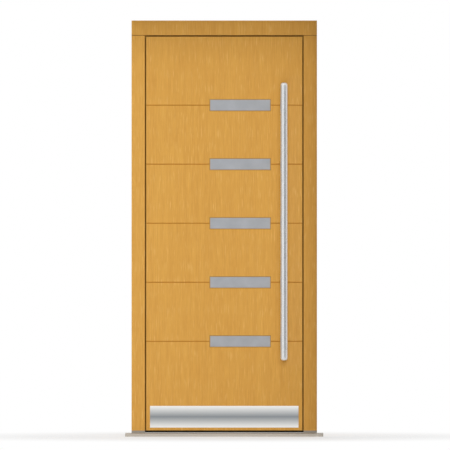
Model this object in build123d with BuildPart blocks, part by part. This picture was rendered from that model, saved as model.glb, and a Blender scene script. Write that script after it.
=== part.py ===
from build123d import *
import os

os.makedirs("parts", exist_ok=True)

# Sizes are in millimetres. X runs to the right as seen from outside, Y runs inwards from the
# outer face of the frame, and Z runs up from the underside of the sill.

# Frame: two jambs under a head that runs over both, with an outer stop and an inner rebate
frame_width = 1000.0
frame_top = 2244.0
frame_depth = 78.0
jamb_face = 72.0
head_face = 79.0
stop_depth = 42.0
rebate_step = 20.0
foot_height = 32.0
inner_arris = 3.0
frame_arris = 1.5

# Sill and threshold
sill_width = 1068.0
sill_height = 19.0
sill_nose = 45.0
sill_fall = 4.0
sill_wall = 2.2
sill_web_y = 39.0
sill_lip = 7.0
drip_width = 6.0
drip_depth = 3.5
end_cap = 4.0
end_cap_edge = 1.0
threshold_base_height = 2.0
threshold_lip = 3.6
threshold_lip_depth = 6.0
ramp_rise = 3.0
upstand_top = 30.5
upstand_width = 5.0
upstand_edge = 1.0
tread_thickness = 1.7
tread_grooves = (52.0, 58.0, 64.0, 70.0)
tread_groove_width = 1.6
tread_groove_depth = 1.0

# Gaskets: a half-round bulb on a stem that is pressed into a kerf
kerf_width = 3.0
kerf_depth = 5.0
bulb_width = 8.0
bulb_height = 3.7
threshold_bulb_width = 4.4

# Leaf: its outer face is flush with the frame and its inner lip closes into the rebate
leaf_width = 842.0
leaf_bottom = 33.0
leaf_top = 2157.0
lip_front = 46.0
lip_gap = 3.0
lip_bottom = 25.0
facing = 10.0
leaf_arris = 1.2

# Panelling: five horizontal V grooves, with a glazed light centred on each
groove_count = 5
lowest_groove = 513.5
groove_pitch = 318.5
groove_width = 6.5
groove_depth = 3.6
light_width = 332.0
light_height = 66.0
light_x = 86.0

# Carcass between the two facings
hinge_stile_width = 60.0
lock_stile_width = 125.0
top_rail_height = 100.0
bottom_rail_height = 200.0
mullion_width = 44.0
trimmer_height = 20.0
lipping_joint = 0.15

# Sealed glass unit of three panes, and the beads that hold it from inside
glass_joint = 4.0
glass_recess = 1.5
pane_thickness = 6.0
pane_gap = 15.0
spacer_width = 7.0
seal_front = 1.0
bead_width = 14.0
bead_depth = 26.0
bead_bevel = 4.0
mitre_gap = 0.15

# Kick plate
kick_width = 801.0
kick_bottom = 48.0
kick_height = 117.3
kick_thickness = 1.5
plate_edge = 0.5

# Pull bar
bar_radius = 19.0
bar_wall = 2.0
bar_length = 1500.0
bar_x = 321.2
bar_bottom = 409.5
bar_projection = 64.0
bar_end_round = 15.0
bar_plug = 18.0
post_radius = 10.0
post_spacing = 1100.0
post_flange_radius = 15.0
post_flange = 4.0
bar_bolt_radius = 4.0
bar_bolt_reach = 30.0
bolt_head_radius = 7.0
bolt_head = 5.0
bolt_cap_radius = 13.0
bolt_cap_height = 8.0
bolt_cap_bore = 10.0
bolt_cap_bore_depth = 6.0
bolt_cap_edge = 2.0

# Hinges: five-knuckle butts, let into the rebate and the lip
hinge_heights = (280.0, 1095.0, 1910.0)
hinge_length = 120.0
hinge_plate = 3.0
hinge_plate_front = 50.0
knuckle_count = 5
knuckle_radius = 7.0
knuckle_gap = 0.3
hinge_y = 85.5
pin_radius = 3.5
pin_clearance = 0.05
pin_cap = 4.0
pin_cap_edge = 2.0

# Multipoint lock: faceplate, sliding drive strip, main case and two bolt boxes
lock_y = 58.0
faceplate_width = 20.0
faceplate_thickness = 3.0
faceplate_bottom = 250.0
faceplate_top = 1990.0
strip_width = 14.6
strip_thickness = 2.6
strip_bottom = 310.0
strip_top = 1910.0
strip_channel = 3.4
strip_end_play = 10.0
strip_screw_slot = (0.0, 5.0, 5.0)
case_thickness = 15.0
case_depth = 88.6
case_bottom = 905.0
case_top = 1115.0
backset = 65.0
lever_z = 1050.0
cylinder_z = 958.0
latch_z = 1085.0
latch_size = (45.0, 10.0, 22.0)
latch_slope = 10.0
latch_nose = 1.5
deadbolt_z = 1005.0
deadbolt_size = (50.0, 9.0, 34.0)
end_bolt_heights = (400.0, 1750.0)
end_bolt_size = (46.0, 9.0, 30.0)
bolt_throw = 20.0
bolt_edge = 0.8
box_height = 80.0
box_depth = 46.0
slide_clearance = 0.2
snib_z = 1062.0
snib_size = (10.5, 6.0, 8.0)
snib_travel = 5.0
snib_proud = 1.5

# Keeps in the rebate of the lock jamb, and the pockets behind them
main_keep_span = (955.0, 1130.0)
end_keep_half = 45.0
keep_half_width = 11.0
latch_pocket_depth = 14.0
bolt_pocket_depth = 20.0
pocket_side = 1.0
pocket_end = 2.0

# Lever, roses and thumb-turn on the inside
spindle_side = 8.0
spindle_front = 38.0
spindle_end = 102.0
spindle_bore = 9.0
spindle_bore_front = 34.0
follower_radius = 11.0
follower_clearance = 0.08
rose_radius = 26.0
rose_thickness = 9.0
rose_edge = 1.5
neck_gap = 1.5
lever_radius = 9.5
lever_neck_radius = 9.9
lever_reach = 128.0
lever_length = 118.0
lever_bend = 18.0
lever_end_flat = 2.5
knob_length = 34.0
knob_width = 12.0
knob_depth = 15.0
knob_hub = 10.0
knob_edge = 2.0

# Cylinder: a round barrel over a keel, parted in the middle by its cam
barrel_radius = 8.5
keel_width = 10.0
keel_drop = 19.5
cylinder_front = 46.0
cylinder_bore_front = 44.0
plug_radius = 6.5
bridge_half = 4.0
bridge_drop = 22.0
cam_hub = 8.0
cam_reach = 14.8
cam_half = 5.0
cam_root_half = 4.5
cam_tip_half = 3.0
cam_shoulder = 1.0
cam_side_gap = 0.3
cam_tip_gap = 0.8

# Fixings
plate_screw = (2.25, 4.2, 30.0)
frame_screw = (3.0, 6.0, 140.0)
corner_screw_x = 474.0
corner_screw_depths = (21.0, 60.0)
fixing_hole_radius = 5.0
fixing_head_radius = 8.0
fixing_head_depth = 8.0
fixing_heights = (180.0, 700.0, 1500.0, 2020.0)
fixing_y = 60.0

# Places worked out from the sizes above
half_frame = frame_width / 2
stop_x = half_frame - jamb_face
rebate_x = stop_x + rebate_step
head_underside = frame_top - head_face
head_rebate = head_underside + rebate_step
half_leaf = leaf_width / 2
lip_x = rebate_x - lip_gap
lip_top = head_rebate - lip_gap
core_back = frame_depth - facing
stile_x = -half_leaf + hinge_stile_width
lock_stile_x = half_leaf - lock_stile_width
top_rail_z = leaf_top - top_rail_height
bottom_rail_z = leaf_bottom + bottom_rail_height
groove_heights = [lowest_groove + i * groove_pitch for i in range(groove_count)]
light_centres = [(light_x, z) for z in groove_heights]
pane_width = light_width - 2 * glass_joint
pane_height = light_height - 2 * glass_joint
unit_back = glass_recess + 3 * pane_thickness + 2 * pane_gap
hinge_x = -(rebate_x + lip_x) / 2
faceplate_x = lip_x - faceplate_thickness
channel_x = faceplate_x - strip_channel
spindle_x = lip_x - backset
bar_middle = bar_bottom + bar_length / 2
post_heights = (bar_middle - post_spacing / 2, bar_middle + post_spacing / 2)


# Shared shapes

def block(x0, x1, y0, y1, z0, z1, mode=Mode.ADD):
    with Locations(((x0 + x1) / 2, (y0 + y1) / 2, (z0 + z1) / 2)):
        Box(abs(x1 - x0), abs(y1 - y0), abs(z1 - z0), mode=mode)


# A plane parallel to the door's face, its normal pointing outside
def face_plane(depth):
    return Plane(origin=(0, depth, 0), x_dir=(1, 0, 0), z_dir=(0, -1, 0))


# A round bar or hole along Y
def rod_y(x, z, radius, y0, y1, mode=Mode.ADD):
    with Locations(Location((x, (y0 + y1) / 2, z), (90, 0, 0))):
        Cylinder(radius, abs(y1 - y0), mode=mode)


# A countersunk screw with its head's top at the origin and its point down
def countersunk_screw(shank, head, length):
    with BuildPart() as screw:
        with BuildSketch(Plane.XZ):
            with BuildLine():
                Polyline(
                    (0, 0),
                    (head, 0),
                    (shank, shank - head),
                    (shank, 2 * shank - length),
                    (0, -length),
                    close=True,
                )
            make_face()
        revolve(axis=Axis.Z)
    return screw.part


small_screw = countersunk_screw(*plate_screw)
long_screw = countersunk_screw(*frame_screw)


# Screw places: each points its head out of the face that it holds
def facing_right(points):
    return [Location(point, (0, 90, 0)) for point in points]


def facing_left(points):
    return [Location(point, (0, -90, 0)) for point in points]


hinge_screw_steps = ((56.0, -45.0), (63.0, -16.0), (56.0, 16.0), (63.0, 45.0))
hinge_screw_points = [(y, z + step) for z in hinge_heights for y, step in hinge_screw_steps]
hinge_frame_screw_places = facing_right([(-rebate_x, y, z) for y, z in hinge_screw_points])
hinge_leaf_screw_places = facing_left([(-lip_x, y, z) for y, z in hinge_screw_points])
faceplate_screw_heights = (263.0, 560.0, 830.0, 1300.0, 1560.0, 1977.0)
faceplate_screw_places = facing_right([(lip_x, lock_y, z) for z in faceplate_screw_heights])
main_keep_screw_heights = (968.0, 1048.0, 1116.0)
end_keep_screw_heights = [z + step for z in end_bolt_heights for step in (-34.0, 34.0)]
main_keep_screw_places = facing_left([(rebate_x, lock_y, z) for z in main_keep_screw_heights])
end_keep_screw_places = facing_left([(rebate_x, lock_y, z) for z in end_keep_screw_heights])
corner_points = [(side * corner_screw_x, y) for side in (-1, 1) for y in corner_screw_depths]
head_screw_places = [Location((x, y, frame_top)) for x, y in corner_points]
foot_screw_places = [Location((x, y, 0), (180, 0, 0)) for x, y in corner_points]


# Seats that both a plate and the timber round it are cut by
def hinge_seats(side, face_x, mode=Mode.SUBTRACT):
    for z in hinge_heights:
        block(
            face_x,
            face_x + side * hinge_plate,
            hinge_plate_front,
            frame_depth,
            z - hinge_length / 2,
            z + hinge_length / 2,
            mode,
        )


# The pocket that a bolt enters, a little wider and taller than the bolt
def keep_pocket(size, depth, z):
    half_y = size[1] / 2 + pocket_side
    half_z = size[2] / 2 + pocket_end
    back = rebate_x + depth
    block(
        rebate_x, back, lock_y - half_y, lock_y + half_y, z - half_z, z + half_z, Mode.SUBTRACT
    )


# Sill: a hollow extrusion that falls to its nose, with a drip groove below

nose_y = -sill_nose
drip_front = nose_y + sill_lip
drip_back = drip_front + drip_width
sill_outline = (
    (frame_depth, 0),
    (frame_depth, sill_height),
    (0, sill_height),
    (nose_y, sill_height - sill_fall),
    (nose_y, 0),
    (drip_front, 0),
    (drip_front, drip_depth),
    (drip_back, drip_depth),
    (drip_back, 0),
)
half_web = sill_wall / 2
nose_chamber_front = drip_back + sill_wall
back_chambers = ((half_web, sill_web_y - half_web), (sill_web_y + half_web, frame_depth - sill_wall))


# Height of the falling top at a distance in front of the frame, less the wall
def chamber_top_at(y):
    return sill_height + sill_fall * y / sill_nose - sill_wall


with BuildPart() as door_sill:
    with BuildSketch(Plane.YZ):
        with BuildLine():
            Polyline(*sill_outline, close=True)
        make_face()
        with BuildLine():
            Polyline(
                (nose_chamber_front, sill_wall),
                (nose_chamber_front, chamber_top_at(nose_chamber_front)),
                (-half_web, chamber_top_at(-half_web)),
                (-half_web, sill_wall),
                close=True,
            )
        make_face(mode=Mode.SUBTRACT)
        for low, high in back_chambers:
            with Locations(((low + high) / 2, sill_height / 2)):
                Rectangle(high - low, sill_height - 2 * sill_wall, mode=Mode.SUBTRACT)
    extrude(amount=sill_width / 2 - end_cap, both=True)
    with Locations(*foot_screw_places):
        add(long_screw, mode=Mode.SUBTRACT)
door_sill.part.label = "door_sill"
export_step(door_sill.part, "parts/door_sill.step")

with BuildPart() as sill_end_caps:
    with BuildSketch(Plane.YZ.offset(sill_width / 2 - end_cap)):
        with BuildLine():
            Polyline(*sill_outline, close=True)
        make_face()
    extrude(amount=end_cap)
    outer_edges = sill_end_caps.faces().sort_by(Axis.X)[-1].edges()
    fillet(outer_edges.group_by(Axis.Z)[-1], end_cap_edge)
    mirror(about=Plane.YZ)
sill_end_caps.part.label = "sill_end_caps"
export_step(sill_end_caps.part, "parts/sill_end_caps.step")

# Threshold: a plastic base that parts an outer rail with an upstand from an inner tread

base_top = sill_height + threshold_base_height
with BuildPart() as threshold_base:
    block(-stop_x, stop_x, threshold_lip_depth, stop_depth, sill_height, base_top)
    block(-rebate_x, rebate_x, stop_depth, frame_depth, sill_height, base_top)
threshold_base.part.label = "threshold_base"
export_step(threshold_base.part, "parts/threshold_base.step")

upstand_front = stop_depth - upstand_width
with BuildPart() as threshold_outer_rail:
    with BuildSketch(Plane.YZ):
        with BuildLine():
            Polyline(
                (0, sill_height),
                (0, sill_height + threshold_lip),
                (upstand_front - upstand_edge, base_top + ramp_rise),
                (upstand_front, upstand_top),
                (stop_depth, upstand_top),
                (stop_depth, base_top),
                (threshold_lip_depth, base_top),
                (threshold_lip_depth, sill_height),
                close=True,
            )
        make_face()
    extrude(amount=stop_x, both=True)
    fillet(threshold_outer_rail.edges().filter_by(Axis.X).group_by(Axis.Z)[-1], upstand_edge)
threshold_outer_rail.part.label = "threshold_outer_rail"
export_step(threshold_outer_rail.part, "parts/threshold_outer_rail.step")

tread_top = base_top + tread_thickness
with BuildPart() as threshold_inner_rail:
    block(-rebate_x, rebate_x, lip_front, frame_depth, base_top, tread_top)
    with Locations(*[(0, y, tread_top) for y in tread_grooves]):
        Box(2 * rebate_x, tread_groove_width, tread_groove_depth, mode=Mode.SUBTRACT)
threshold_inner_rail.part.label = "threshold_inner_rail"
export_step(threshold_inner_rail.part, "parts/threshold_inner_rail.step")


# Outline of a jamb's foot, stepped on its inner side
jamb_outline = (
    (-half_frame, 0),
    (-stop_x, 0),
    (-stop_x, stop_depth),
    (-rebate_x, stop_depth),
    (-rebate_x, frame_depth),
    (-half_frame, frame_depth),
)

with BuildPart() as jamb_foot_pads:
    with BuildSketch(Plane.XY.offset(sill_height)):
        with BuildLine():
            Polyline(*jamb_outline, close=True)
        make_face()
    extrude(amount=foot_height - sill_height)
    mirror(about=Plane.YZ)
    with Locations(*foot_screw_places):
        add(long_screw, mode=Mode.SUBTRACT)
jamb_foot_pads.part.label = "jamb_foot_pads"
export_step(jamb_foot_pads.part, "parts/jamb_foot_pads.step")

# Gaskets in the stop

gasket_x = (stop_x + rebate_x) / 2
head_gasket_z = (head_underside + head_rebate) / 2
kerf_front = stop_depth - kerf_depth


# The gasket's section, with the stop's face on one side of the bulb
def gasket_section(plane, centre, across_first):
    def place(across, depth):
        return (centre + across, depth) if across_first else (depth, centre + across)

    with BuildSketch(plane) as section:
        with BuildLine():
            Polyline(
                place(-bulb_width / 2, stop_depth),
                place(-kerf_width / 2, stop_depth),
                place(-kerf_width / 2, kerf_front),
                place(kerf_width / 2, kerf_front),
                place(kerf_width / 2, stop_depth),
                place(bulb_width / 2, stop_depth),
            )
            ThreePointArc(
                place(bulb_width / 2, stop_depth),
                place(0, stop_depth + bulb_height),
                place(-bulb_width / 2, stop_depth),
            )
        make_face()
    return section.sketch


side_gasket_top = head_gasket_z - bulb_width / 2
with BuildPart() as gasket_hinge_side:
    side_section = gasket_section(Plane.XY.offset(foot_height), -gasket_x, True)
    extrude(side_section, amount=side_gasket_top - foot_height)
gasket_hinge_side.part.label = "gasket_hinge_side"
export_step(gasket_hinge_side.part, "parts/gasket_hinge_side.step")

with BuildPart() as gasket_lock_side:
    side_section = gasket_section(Plane.XY.offset(foot_height), gasket_x, True)
    extrude(side_section, amount=side_gasket_top - foot_height)
gasket_lock_side.part.label = "gasket_lock_side"
export_step(gasket_lock_side.part, "parts/gasket_lock_side.step")

gasket_reach = gasket_x + bulb_width / 2
with BuildPart() as gasket_head:
    extrude(gasket_section(Plane.YZ, head_gasket_z, False), amount=gasket_reach, both=True)
gasket_head.part.label = "gasket_head"
export_step(gasket_head.part, "parts/gasket_head.step")

seal_middle = (lip_bottom + upstand_top) / 2
seal_low, seal_high = seal_middle - threshold_bulb_width / 2, seal_middle + threshold_bulb_width / 2
with BuildPart() as threshold_seal:
    with BuildSketch(Plane.YZ):
        with BuildLine():
            Line((stop_depth, seal_low), (stop_depth, seal_high))
            ThreePointArc(
                (stop_depth, seal_high), (stop_depth + bulb_height, seal_middle), (stop_depth, seal_low)
            )
        make_face()
    extrude(amount=gasket_reach, both=True)
threshold_seal.part.label = "threshold_seal"
export_step(threshold_seal.part, "parts/threshold_seal.step")


# Jambs and head: each is glued up from two boards. The outer one carries the stop, and the inner
# one stands back from it to leave the rebate, so their corner joints are stepped.

def fixing_holes(side):
    for z in fixing_heights:
        with Locations(Location((side * (rebate_x + half_frame) / 2, fixing_y, z), (0, 90, 0))):
            Cylinder(fixing_hole_radius, half_frame - rebate_x, mode=Mode.SUBTRACT)
        head_middle = side * (rebate_x + fixing_head_depth / 2)
        with Locations(Location((head_middle, fixing_y, z), (0, 90, 0))):
            Cylinder(fixing_head_radius, fixing_head_depth, mode=Mode.SUBTRACT)


# The kerf that a side gasket's stem is pressed into
def side_kerf(side, z0, z1):
    x = side * gasket_x
    block(x - kerf_width / 2, x + kerf_width / 2, kerf_front, stop_depth, z0, z1, Mode.SUBTRACT)


with BuildPart() as hinge_jamb_outer:
    block(-half_frame, -stop_x, 0, stop_depth, foot_height, head_underside)
    front_edges = hinge_jamb_outer.edges().filter_by(Axis.Z).group_by(Axis.Y)[0]
    fillet(front_edges.sort_by(Axis.X)[-1], inner_arris)
    front_edges = hinge_jamb_outer.edges().filter_by(Axis.Z).group_by(Axis.Y)[0]
    fillet(front_edges.sort_by(Axis.X)[0], frame_arris)
    side_kerf(-1, foot_height, head_underside)
    with Locations(*head_screw_places, *foot_screw_places):
        add(long_screw, mode=Mode.SUBTRACT)
hinge_jamb_outer.part.label = "hinge_jamb_outer"
export_step(hinge_jamb_outer.part, "parts/hinge_jamb_outer.step")

with BuildPart() as hinge_jamb_inner:
    block(-half_frame, -rebate_x, stop_depth, frame_depth, foot_height, head_rebate)
    hinge_seats(-1, -rebate_x)
    fixing_holes(-1)
    with Locations(*hinge_frame_screw_places):
        add(small_screw, mode=Mode.SUBTRACT)
    with Locations(*head_screw_places, *foot_screw_places):
        add(long_screw, mode=Mode.SUBTRACT)
hinge_jamb_inner.part.label = "hinge_jamb_inner"
export_step(hinge_jamb_inner.part, "parts/hinge_jamb_inner.step")

with BuildPart() as lock_jamb_outer:
    block(stop_x, half_frame, 0, stop_depth, foot_height, head_underside)
    front_edges = lock_jamb_outer.edges().filter_by(Axis.Z).group_by(Axis.Y)[0]
    fillet(front_edges.sort_by(Axis.X)[0], inner_arris)
    front_edges = lock_jamb_outer.edges().filter_by(Axis.Z).group_by(Axis.Y)[0]
    fillet(front_edges.sort_by(Axis.X)[-1], frame_arris)
    side_kerf(1, foot_height, head_underside)
    with Locations(*head_screw_places, *foot_screw_places):
        add(long_screw, mode=Mode.SUBTRACT)
lock_jamb_outer.part.label = "lock_jamb_outer"
export_step(lock_jamb_outer.part, "parts/lock_jamb_outer.step")

with BuildPart() as lock_jamb_inner:
    block(rebate_x, half_frame, stop_depth, frame_depth, foot_height, head_rebate)
    keep_low, keep_high = lock_y - keep_half_width, lock_y + keep_half_width
    keep_back = rebate_x + faceplate_thickness
    block(rebate_x, keep_back, keep_low, keep_high, *main_keep_span, Mode.SUBTRACT)
    keep_pocket(latch_size, latch_pocket_depth, latch_z)
    keep_pocket(deadbolt_size, bolt_pocket_depth, deadbolt_z)
    for z in end_bolt_heights:
        block(
            rebate_x,
            keep_back,
            keep_low,
            keep_high,
            z - end_keep_half,
            z + end_keep_half,
            Mode.SUBTRACT,
        )
        keep_pocket(end_bolt_size, bolt_pocket_depth, z)
    fixing_holes(1)
    with Locations(*main_keep_screw_places, *end_keep_screw_places):
        add(small_screw, mode=Mode.SUBTRACT)
    with Locations(*head_screw_places, *foot_screw_places):
        add(long_screw, mode=Mode.SUBTRACT)
lock_jamb_inner.part.label = "lock_jamb_inner"
export_step(lock_jamb_inner.part, "parts/lock_jamb_inner.step")

with BuildPart() as head_outer:
    block(-half_frame, half_frame, 0, stop_depth, head_underside, frame_top)
    front_edges = head_outer.faces().sort_by(Axis.Y)[0].edges().filter_by(Axis.X)
    fillet(front_edges, frame_arris)
    block(
        -gasket_reach,
        gasket_reach,
        kerf_front,
        stop_depth,
        head_gasket_z - kerf_width / 2,
        head_gasket_z + kerf_width / 2,
        Mode.SUBTRACT,
    )
    for side in (-1, 1):
        side_kerf(side, head_underside, side_gasket_top)
    with Locations(*head_screw_places):
        add(long_screw, mode=Mode.SUBTRACT)
head_outer.part.label = "head_outer"
export_step(head_outer.part, "parts/head_outer.step")

with BuildPart() as head_inner:
    block(-half_frame, half_frame, stop_depth, frame_depth, head_rebate, frame_top)
    with Locations(*head_screw_places):
        add(long_screw, mode=Mode.SUBTRACT)
head_inner.part.label = "head_inner"
export_step(head_inner.part, "parts/head_inner.step")

with BuildPart() as frame_screws:
    with Locations(*head_screw_places, *foot_screw_places):
        add(long_screw)
frame_screws.part.label = "frame_screws"
export_step(frame_screws.part, "parts/frame_screws.step")

# Keeps that the bolts and the latch enter

with BuildPart() as main_keep:
    with BuildSketch(Plane.YZ.offset(rebate_x)):
        with Locations((lock_y, sum(main_keep_span) / 2)):
            Rectangle(2 * keep_half_width, main_keep_span[1] - main_keep_span[0])
    extrude(amount=faceplate_thickness)
    keep_pocket(latch_size, latch_pocket_depth, latch_z)
    keep_pocket(deadbolt_size, bolt_pocket_depth, deadbolt_z)
    with Locations(*main_keep_screw_places):
        add(small_screw, mode=Mode.SUBTRACT)
main_keep.part.label = "main_keep"
export_step(main_keep.part, "parts/main_keep.step")

with BuildPart() as bolt_keeps:
    with BuildSketch(Plane.YZ.offset(rebate_x)):
        with Locations(*[(lock_y, z) for z in end_bolt_heights]):
            Rectangle(2 * keep_half_width, 2 * end_keep_half)
    extrude(amount=faceplate_thickness)
    for z in end_bolt_heights:
        keep_pocket(end_bolt_size, bolt_pocket_depth, z)
    with Locations(*end_keep_screw_places):
        add(small_screw, mode=Mode.SUBTRACT)
bolt_keeps.part.label = "bolt_keeps"
export_step(bolt_keeps.part, "parts/bolt_keeps.step")

with BuildPart() as frame_plate_screws:
    with Locations(*hinge_frame_screw_places, *main_keep_screw_places, *end_keep_screw_places):
        add(small_screw)
frame_plate_screws.part.label = "frame_plate_screws"
export_step(frame_plate_screws.part, "parts/frame_plate_screws.step")


# Hinges: the frame's half has the odd knuckles and the leaf's half the even ones

knuckle_pitch = hinge_length / knuckle_count


def hinge_half(side, face_x, first_knuckle):
    hinge_seats(side, face_x, Mode.ADD)
    for z in hinge_heights:
        for i in range(first_knuckle, knuckle_count, 2):
            low = z - hinge_length / 2 + i * knuckle_pitch + knuckle_gap / 2
            high = low + knuckle_pitch - knuckle_gap
            block(face_x, face_x + side * hinge_plate, frame_depth, hinge_y, low, high)
            with Locations((hinge_x, hinge_y, (low + high) / 2)):
                Cylinder(knuckle_radius, high - low)
        with Locations((hinge_x, hinge_y, z)):
            Cylinder(pin_radius + pin_clearance, hinge_length + 2, mode=Mode.SUBTRACT)


with BuildPart() as hinge_frame_plates:
    hinge_half(-1, -rebate_x, 0)
    with Locations(*hinge_frame_screw_places):
        add(small_screw, mode=Mode.SUBTRACT)
hinge_frame_plates.part.label = "hinge_frame_plates"
export_step(hinge_frame_plates.part, "parts/hinge_frame_plates.step")

with BuildPart() as hinge_leaf_plates:
    hinge_half(1, -lip_x, 1)
    with Locations(*hinge_leaf_screw_places):
        add(small_screw, mode=Mode.SUBTRACT)
hinge_leaf_plates.part.label = "hinge_leaf_plates"
export_step(hinge_leaf_plates.part, "parts/hinge_leaf_plates.step")

cap_base = hinge_length / 2 + knuckle_gap / 2
cap_end = cap_base + pin_cap
with BuildPart() as one_pin:
    with BuildSketch(Plane.XZ):
        with BuildLine():
            Polyline(
                (0, 0),
                (pin_radius, 0),
                (pin_radius, cap_base),
                (knuckle_radius, cap_base),
                (knuckle_radius, cap_end),
                (0, cap_end),
                close=True,
            )
        make_face()
    revolve(axis=Axis.Z)
    fillet(one_pin.faces().sort_by(Axis.Z)[-1].edges(), pin_cap_edge)
    mirror(about=Plane.XY)

with BuildPart() as hinge_pins:
    with Locations(*[(hinge_x, hinge_y, z) for z in hinge_heights]):
        add(one_pin.part)
hinge_pins.part.label = "hinge_pins"
export_step(hinge_pins.part, "parts/hinge_pins.step")


# Leaf facings: V grooves are routed across the face and die into the lights

def routed_grooves(face_y, depth, reach):
    with BuildSketch(Plane.YZ) as grooves:
        for z in groove_heights:
            with BuildLine():
                Polyline(
                    (face_y, z - groove_width / 2),
                    (face_y + depth, z),
                    (face_y, z + groove_width / 2),
                    close=True,
                )
            make_face()
    extrude(grooves.sketch, amount=reach, both=True, mode=Mode.SUBTRACT)


with BuildPart() as outer_facing:
    with BuildSketch(face_plane(facing)):
        with Locations((0, (leaf_bottom + leaf_top) / 2)):
            Rectangle(leaf_width, leaf_top - leaf_bottom)
    extrude(amount=facing)
    fillet(outer_facing.faces().sort_by(Axis.Y)[0].edges(), leaf_arris)
    with BuildSketch(face_plane(facing)):
        with Locations(*light_centres):
            Rectangle(light_width, light_height)
    extrude(amount=facing, mode=Mode.SUBTRACT)
    routed_grooves(0, groove_depth, half_leaf)
    for z in post_heights:
        rod_y(bar_x, z, bar_bolt_radius, 0, facing, Mode.SUBTRACT)
outer_facing.part.label = "outer_facing"
export_step(outer_facing.part, "parts/outer_facing.step")


# The outline of the cylinder's body, also cut through what it stands in
def euro_body(y0, y1, mode=Mode.ADD):
    plane = Plane(origin=(spindle_x, y1, cylinder_z), x_dir=(1, 0, 0), z_dir=(0, -1, 0))
    with BuildSketch(plane) as outline:
        Circle(barrel_radius)
        with Locations((0, -keel_drop / 2)):
            SlotCenterToCenter(keel_drop, keel_width, rotation=90)
    extrude(outline.sketch, amount=y1 - y0, mode=mode)


with BuildPart() as inner_facing:
    with BuildSketch(face_plane(frame_depth)):
        with Locations((0, (lip_bottom + lip_top) / 2)):
            Rectangle(2 * lip_x, lip_top - lip_bottom)
    extrude(amount=facing)
    fillet(inner_facing.faces().sort_by(Axis.Y)[-1].edges().filter_by(Axis.X), leaf_arris)
    with BuildSketch(face_plane(frame_depth)):
        with Locations(*light_centres):
            Rectangle(light_width, light_height)
    extrude(amount=facing, mode=Mode.SUBTRACT)
    routed_grooves(frame_depth, -groove_depth, lip_x)
    hinge_seats(1, -lip_x)
    for z in post_heights:
        rod_y(bar_x, z, bar_bolt_radius, core_back, frame_depth, Mode.SUBTRACT)
    rod_y(spindle_x, lever_z, spindle_bore, core_back, frame_depth, Mode.SUBTRACT)
    euro_body(core_back, frame_depth, Mode.SUBTRACT)
inner_facing.part.label = "inner_facing"
export_step(inner_facing.part, "parts/inner_facing.step")


# Carcass: stiles run the whole height, and rails, mullions and trimmers stand between them

with BuildPart() as hinge_stile:
    block(-half_leaf, stile_x, facing, core_back, leaf_bottom, leaf_top)
    with Locations(*hinge_leaf_screw_places):
        add(small_screw, mode=Mode.SUBTRACT)
hinge_stile.part.label = "hinge_stile"
export_step(hinge_stile.part, "parts/hinge_stile.step")

case_low, case_high = lock_y - case_thickness / 2, lock_y + case_thickness / 2
case_back = channel_x - case_depth
box_back = channel_x - box_depth


# The mortises for the case and the bolt boxes, cut through the stile and the lipping over it
def lock_mortises():
    block(case_back, channel_x, case_low, case_high, case_bottom, case_top, Mode.SUBTRACT)
    for z in end_bolt_heights:
        block(
            box_back,
            channel_x,
            case_low,
            case_high,
            z - box_height / 2,
            z + box_height / 2,
            Mode.SUBTRACT,
        )


with BuildPart() as lock_stile:
    block(lock_stile_x, half_leaf, facing, core_back, leaf_bottom, leaf_top)
    lock_mortises()
    rod_y(spindle_x, lever_z, spindle_bore, spindle_bore_front, core_back, Mode.SUBTRACT)
    euro_body(cylinder_bore_front, core_back, Mode.SUBTRACT)
    for z in post_heights:
        rod_y(bar_x, z, bar_bolt_radius, facing, core_back, Mode.SUBTRACT)
    with Locations(*faceplate_screw_places):
        add(small_screw, mode=Mode.SUBTRACT)
lock_stile.part.label = "lock_stile"
export_step(lock_stile.part, "parts/lock_stile.step")

with BuildPart() as top_rail:
    block(stile_x, lock_stile_x, facing, core_back, top_rail_z, leaf_top)
top_rail.part.label = "top_rail"
export_step(top_rail.part, "parts/top_rail.step")

with BuildPart() as bottom_rail:
    block(stile_x, lock_stile_x, facing, core_back, leaf_bottom, bottom_rail_z)
bottom_rail.part.label = "bottom_rail"
export_step(bottom_rail.part, "parts/bottom_rail.step")

# Lippings round the carcass make the lip that closes into the rebate
lipping_reach = half_leaf - lipping_joint
with BuildPart() as leaf_lippings:
    block(-lip_x, -half_leaf, lip_front, core_back, lip_bottom, lip_top)
    block(half_leaf, lip_x, lip_front, core_back, lip_bottom, lip_top)
    for low, high in ((lip_bottom, leaf_bottom), (leaf_top, lip_top)):
        block(-lipping_reach, lipping_reach, lip_front, core_back, low, high)
    hinge_seats(1, -lip_x)
    with BuildSketch(Plane.YZ.offset(lip_x)):
        with Locations((lock_y, (faceplate_bottom + faceplate_top) / 2)):
            Rectangle(faceplate_width, faceplate_top - faceplate_bottom)
    extrude(amount=-faceplate_thickness, mode=Mode.SUBTRACT)
    block(
        channel_x,
        faceplate_x,
        case_low,
        case_high,
        strip_bottom - strip_end_play,
        strip_top + bolt_throw + strip_end_play,
        Mode.SUBTRACT,
    )
    lock_mortises()
    with Locations(*hinge_leaf_screw_places, *faceplate_screw_places):
        add(small_screw, mode=Mode.SUBTRACT)
leaf_lippings.part.label = "leaf_lippings"
export_step(leaf_lippings.part, "parts/leaf_lippings.step")

light_left = light_x - light_width / 2
light_right = light_x + light_width / 2
with BuildPart() as light_mullions:
    for x in (light_left - mullion_width, light_right):
        block(x, x + mullion_width, facing, core_back, bottom_rail_z, top_rail_z)
light_mullions.part.label = "light_mullions"
export_step(light_mullions.part, "parts/light_mullions.step")

trimmer_step = (light_height + trimmer_height) / 2
with BuildPart() as light_trimmers:
    with Locations(
        *[
            (light_x, (facing + core_back) / 2, z + side * trimmer_step)
            for z in groove_heights
            for side in (-1, 1)
        ]
    ):
        Box(light_width, core_back - facing, trimmer_height)
light_trimmers.part.label = "light_trimmers"
export_step(light_trimmers.part, "parts/light_trimmers.step")

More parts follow.
